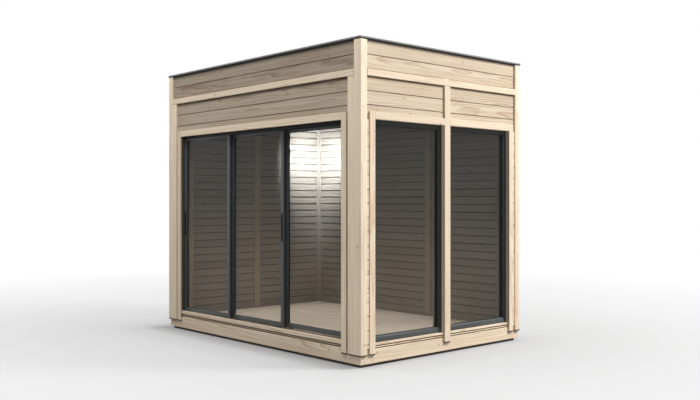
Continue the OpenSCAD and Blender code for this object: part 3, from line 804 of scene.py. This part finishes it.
def flashingBar(along, sign):  # a metal edge over the roof sheet and a black rubber strip under its lip, black as painted shadow under the lip
    far = (flashHigh.x, flashHigh.y)
    reach = far[along] - (flashLook["top"] if along else 0) - flashLook["jointGap"]
    out, foot, lip = far[1 - along], sheetHigh.z + flashLook["foot"], flashLook["lip"]
    metalDepths = (sign * out, sign * (out - flashLook["top"]))
    sealDepths = (sign * (out - lip), sign * (out - lip - flashLook["seal"]))
    metal = bar("flashing", along, (-reach, reach), metalDepths, (foot, flashHigh.z))
    seal = bar("edgeShadowStrip", along, (lip - reach, reach - lip), sealDepths, (postTop + 0.0004, foot + 0.0002))
    return ease(metal, flashLook["ease"], 3), ease(seal, 0.001)


bars, seals = zip(*[flashingBar(along, sign) for along in (0, 1) for sign in (-1, 1)])
finish(smooth(joined("roofFlashing", bars)), edgeMetal, "edge_metal", "roof_flashing")
# painted shadow: the black strip under the flashing's lip
finish(joined("roofEdgeShadowStrip", seals), rubber, "roof_sheet")
print("roof ready")


# metal frames
def barRing(name, along, span, levels, widths, depths, width, foot=0.0, slope=0.0):
    # two stiles and two rails; a foot puts the bottom rail under the stiles, a slope bevels the front edges
    left, right, bottom, top = widths
    (a0, a1), (z0, z1), depth = span, levels, 1 - along
    between = (a0 + left - slope + 0.0002, a1 - right + slope - 0.0002)
    parts = []
    for run, rise, axis, at in (((a0, a0 + left), (z0 + foot, z1), along, a0 + left),
                                ((a1 - right, a1), (z0 + foot, z1), along, a1 - right),
                                (span if foot else between, (z0, z0 + bottom), 2, z0 + bottom),
                                (between, (z1 - top, z1), 2, z1 - top)):
        piece = bar(name, along, run, depths, rise)
        if slope:  # cut the long front edge back at an angle
            edit(piece)
            pick(piece, "edges", lambda e: all(abs(v.co[axis] - at) < 1e-5 and
                                               abs(v.co[depth] - depths[0]) < 1e-5 for v in e.verts))
            bevel(slope, 1)
            done()
        parts.append(ease(piece, width))
    return parts


def glazedSash(name, along, span, levels, widths, depths, look, footed=False):
    # main bars, then the glazing bead a step lower, then the black seal on the pane
    outer, inner = depths
    side = 1 if outer > inner else -1
    bead, setBack, slope, over = look["bead"], look["setBack"], look["slope"], 0.001
    main = [w - bead for w in widths]
    parts = barRing(name, along, span, levels, main, depths, 0.0012, main[2] + 0.0002 if footed else 0.0)
    span = (span[0] + main[0] - over, span[1] - main[1] + over)
    levels = (levels[0] + main[2] - over, levels[1] - main[3] + over)
    parts += barRing(name, along, span, levels, [bead + over] * 4,
                     (outer - side * setBack, inner + side * setBack), 0.0008, slope=slope)
    span, levels = [(ends[0] + bead - over, ends[1] - bead + over) for ends in (span, levels)]
    back = setBack + slope + 0.0018
    return parts, barRing(name + "Seal", along, span, levels, [look["seal"]] * 4,
                          (outer - side * back, inner + side * back), 0.0006)


windowLook = {"bar": 0.054, "slim": 0.0445, "bead": 0.014, "setBack": 0.004, "slope": 0.011, "seal": 0.003}
bars = [windowLook[key] for key in ("slim", "slim", "bar", "slim")]
parts, seals = glazedSash("windowFrame", 1, (midHalf, windowEdge), (frameLow.z, openingTop), bars,
                          (frameHigh.x, frameLow.x), windowLook, True)
parts += [mirrored(p, 1) for p in parts]
seals += [mirrored(p, 1) for p in seals]
# the bottom rails take the lighter coat as painted light, the rest the darker coat as painted shade
litBottomBars = [p for p in parts if max(v.co.z for v in p.data.vertices) < frameLow.z + windowLook["bar"] + 0.001]
parts = [p for p in parts if p not in litBottomBars]
finish(smooth(joined("windowFrames", parts)), shadedWindowMetal, "frame_metal", "window_frames")
finish(smooth(joined("windowLitBottomBars", litBottomBars)), litBottomBarMetal, "frame_metal")
finish(smooth(joined("windowSeals", seals)), rubber, "frame_metal")

leafLook = {"stile": 0.05, "bottom": 0.045, "top": 0.033, "bead": 0.008, "setBack": 0.003, "slope": 0.0,
            "seal": 0.003}
shoeLook = {"in": 0.085, "half": 0.035, "thick": 0.006}
pullLook = {"rim": 0.0035, "groove": 0.0025, "ease": 0.0012}
bars = [leafLook[key] for key in ("stile", "stile", "bottom", "top")]
leafBase = thresholdHigh.z + 0.001
leafBoxes = [edges("door_leaf_%d_frame" % number) for number in (1, 2, 3)]
for number, body in ((1, "door_leaf_1"), (2, "door_leaf_2"), (3, "house")):
    low, high = leafBoxes[number - 1]
    leaf = "door_leaf_%d_" % number
    parts, seals = glazedSash("leafFrame%d" % number, 0, (low.x, high.x), (leafBase, high.z), bars,
                              (low.y, high.y), leafLook)
    middleY, half = (low.y + high.y) / 2, shoeLook["half"]
    depths = (middleY - shoeLook["thick"], middleY + shoeLook["thick"])
    for x in (low.x + shoeLook["in"], high.x - shoeLook["in"]):  # roller housings under the bottom rail
        parts.append(ease(bar("shoe", 0, (x - half, x + half), depths, (low.z, leafBase + 0.001)), 0.001))
    frame = smooth(joined("leafFrame%d" % number, parts))
    finish(frame, frameMetal, "frame_metal", leaf + "frame", body=body)
    finish(smooth(joined("leafSeal%d" % number, seals)), rubber, "frame_metal", body=body)
    if number < 3:
        pull = block("pullHandle%d" % number, *edges(leaf + "handle"))
        edit(pull)
        pick(pull, "faces", lambda f: f.normal.y < -0.9)  # a shallow finger groove down the front
        bpy.ops.mesh.inset(thickness=pullLook["rim"])
        extrude(0, pullLook["groove"], 0)
        done()
        finish(smooth(ease(pull, pullLook["ease"])), handleMetal, "handle_metal", leaf + "handle", body=body)
for name in ("window_glass", "door_leaf_1_glass", "door_leaf_2_glass", "door_leaf_3_glass"):
    dress(nodes[name], glazing)

doorLook = {"jamb": 0.026, "head": 0.0275, "plate": 0.014, "clear": 0.005, "filler": 0.012,
            "fillerTone": (0.95, 1.0)}
outer, inner = edges("door_frame")
headFoot, plateFoot = openingTop - doorLook["head"], openingTop - doorLook["plate"]
jamb = block("doorJamb", (outer.x, outer.y, sillTop), (outer.x + doorLook["jamb"], inner.y, openingTop))
ease(jamb, 0.0015)
finish(smooth(joined("doorJambs", [jamb, mirrored(jamb, 0)])), frameMetal, "frame_metal", "door_frame")
filler = block("trackFiller", (-doorHalf + 0.0002, leafBoxes[0][1].y + 0.006, thresholdHigh.z),
               (-doorHalf + doorLook["filler"], roomFront - 0.001, headFoot))
grain(ease(filler, 0.0015), 2, 1, doorLook["fillerTone"])
finish(smooth(filler), trimTimber, "inner_boards")  # closes the tracks behind the outer leaf
walls = [outer.y]
for low, high in leafBoxes:
    walls += [low.y - doorLook["clear"], high.y + doorLook["clear"]]
walls.append(inner.y)
span = (outer.x + doorLook["jamb"] + 0.0003, inner.x - doorLook["jamb"] - 0.0003)
parts = [bar("headPlate", 0, span, (outer.y, inner.y), (plateFoot, openingTop))]
for depths in zip(walls[::2], walls[1::2]):
    parts.append(bar("headWall", 0, span, depths, (headFoot, plateFoot + 0.0005)))
for piece in parts:
    ease(piece, 0.0008)
# painted shade: the head track takes the nearly black coat
finish(smooth(joined("doorHeadTrack", parts)), shadedHeadMetal, "frame_metal")

# the sill of the door: a boarded bed with three thin running rails
railLook = {"height": 0.006, "half": 0.002}
trackLow, trackHigh = edges("door_bottom_track")
bedTop = trackHigh.z - railLook["height"]
span = (trackLow.x, trackHigh.x)
bed = ease(bar("trackBed", 0, span, (trackLow.y + 0.0005, trackHigh.y), (trackLow.z, bedTop)), 0.0012)
finish(joined("doorTrackBed", [grain(bed, 0, 1)]), outerTimber, "outer_timber", "door_bottom_track")
railYs = [(low.y + high.y) / 2 for low, high in leafBoxes]
depths = (railYs[0] - railLook["half"], railYs[0] + railLook["half"])
rail = ease(bar("rail", 0, span, depths, (bedTop - 0.001, trackHigh.z)), 0.0008)
rails = [rail] + [copyMoved(rail, (0, y - railYs[0], 0)) for y in railYs[1:]]
finish(joined("doorRails", rails), trackMetal, "frame_metal")
print("metal ready")

# camera, light and stage
shot = {"place": (6.9812, -6.1089, bearerTop + 1.4406), "yaw": 47.871, "lens": 43.371}
camera = bpy.data.cameras.new("photoCamera")
camera.sensor_width = 36
camera.lens = shot["lens"]
camera.clip_end = 500
cameraObject = bpy.data.objects.new("photoCamera", camera)
bpy.context.scene.collection.objects.link(cameraObject)
cameraObject.location = shot["place"]
cameraObject.rotation_euler = (math.radians(90), 0, math.radians(shot["yaw"]))
bpy.context.scene.camera = cameraObject
bpy.context.scene.view_settings.view_transform = "Standard"

light = {"key": 4600, "top": 560, "sky": 0.34, "glow": 25, "glowSpread": 132, "ceiling": 16.5,
         "ceilingSpread": 22}


def areaLamp(name, place, aim, size, power, colour=(1, 1, 1)):
    data = bpy.data.lights.new(name, "AREA")
    data.shape = "RECTANGLE"
    data.size, data.size_y = size
    data.energy = power
    data.color = colour
    lamp = bpy.data.objects.new(name, data)
    bpy.context.scene.collection.objects.link(lamp)
    lamp.location = place
    lamp.rotation_euler = (Vector(aim) - Vector(place)).to_track_quat("-Z", "Y").to_euler()
    return lamp


areaLamp("keyLamp", (10.76, 9.36, 13.8), (1.4, 0.0, 1.2), (4.6, 4.6), light["key"], (1.0, 0.99, 0.97))
areaLamp("topLamp", (-1.3, -4.5, 9.2), (-0.3, -1.1, 1.4), (6.0, 2.6), light["top"])
ceilingLamp = areaLamp("ceilingLamp", (0.0, 0.01, ceilingLow.z - 0.03), (0.0, 0.01, 0.0), (2.84, 1.86),
                       light["ceiling"], (1.0, 0.99, 0.96))
cornerGlow = areaLamp("cornerGlow", (-1.0, 0.52, 2.07), (-1.47, 0.99, 1.97), (0.25, 0.25), light["glow"],
                      (0.9, 0.96, 1.0))  # makes the bright spot in the room's back corner
cornerGlow.data.cycles.max_bounces = 0  # it lights the corner alone, not the whole room
for lamp, spread in ((ceilingLamp, light["ceilingSpread"]), (cornerGlow, light["glowSpread"])):
    lamp.data.spread = math.radians(spread)
    lamp.visible_camera = False
    lamp.visible_glossy = False
    lamp.visible_transmission = False


def seenDirectly(tree):  # 1 for what the camera sees, also in gloss and through glass
    rays = add(tree, "ShaderNodeLightPath").outputs
    return maths(tree, "MAXIMUM", maths(tree, "MAXIMUM", rays["Is Camera Ray"], rays["Is Glossy Ray"]),
                 rays["Is Transmission Ray"])


world = bpy.data.worlds.new("studio")
bpy.context.scene.world = world
world.use_nodes = True
tree = world.node_tree
background = tree.nodes["Background"]
tree.links.new(remap(tree, seenDirectly(tree), (0, 1), (light["sky"], 1.0)), background.inputs["Strength"])
background.inputs["Color"].default_value = (1, 1, 1, 1)

floorGlowAndShade = {"middle": (-0.1, -0.06, 0), "edge": 0.03, "reach": 8.0}
bpy.ops.object.select_all(action="DESELECT")
bpy.ops.mesh.primitive_plane_add(size=240, location=(0, 0, 0))
floor = bpy.context.object
floor.name = "studioFloor"
material, tree, shader = nodeTree("studioFloor")
shader.inputs["Base Color"].default_value = (0.35, 0.35, 0.355, 1)
shader.inputs["Roughness"].default_value = 0.9
shader.inputs["Specular IOR Level"].default_value = 0.1
# the floor grows white with the distance from the house's footprint; close to the footprint it stays grey as
# painted shade round the base, centred a little to the left and front
place = add(tree, "ShaderNodeTexCoord").outputs["Object"]
reach = vectors(tree, "ABSOLUTE", vectors(tree, "SUBTRACT", place, floorGlowAndShade["middle"]))
past = vectors(tree, "SUBTRACT", reach, (halfW - floorGlowAndShade["edge"], halfD - floorGlowAndShade["edge"], 0))
away = vectors(tree, "LENGTH", vectors(tree, "MAXIMUM", past, (0, 0, 0)))
fade = ramp(tree, maths(tree, "DIVIDE", away, floorGlowAndShade["reach"]), (0.0, 0.12), (0.03, 0.46), (0.08, 0.58),
            (0.25, 0.7), (0.9, 1.0))
glow = add(tree, "ShaderNodeEmission", Color=(1, 1, 1, 1))
mix = add(tree, "ShaderNodeMixShader", Fac=maths(tree, "MULTIPLY", fade, seenDirectly(tree)))
tree.links.new(shader.outputs[0], mix.inputs[1])
tree.links.new(glow.outputs[0], mix.inputs[2])
tree.links.new(mix.outputs[0], tree.nodes["Material Output"].inputs["Surface"])
floor.data.materials.append(material)

print("scene ready")
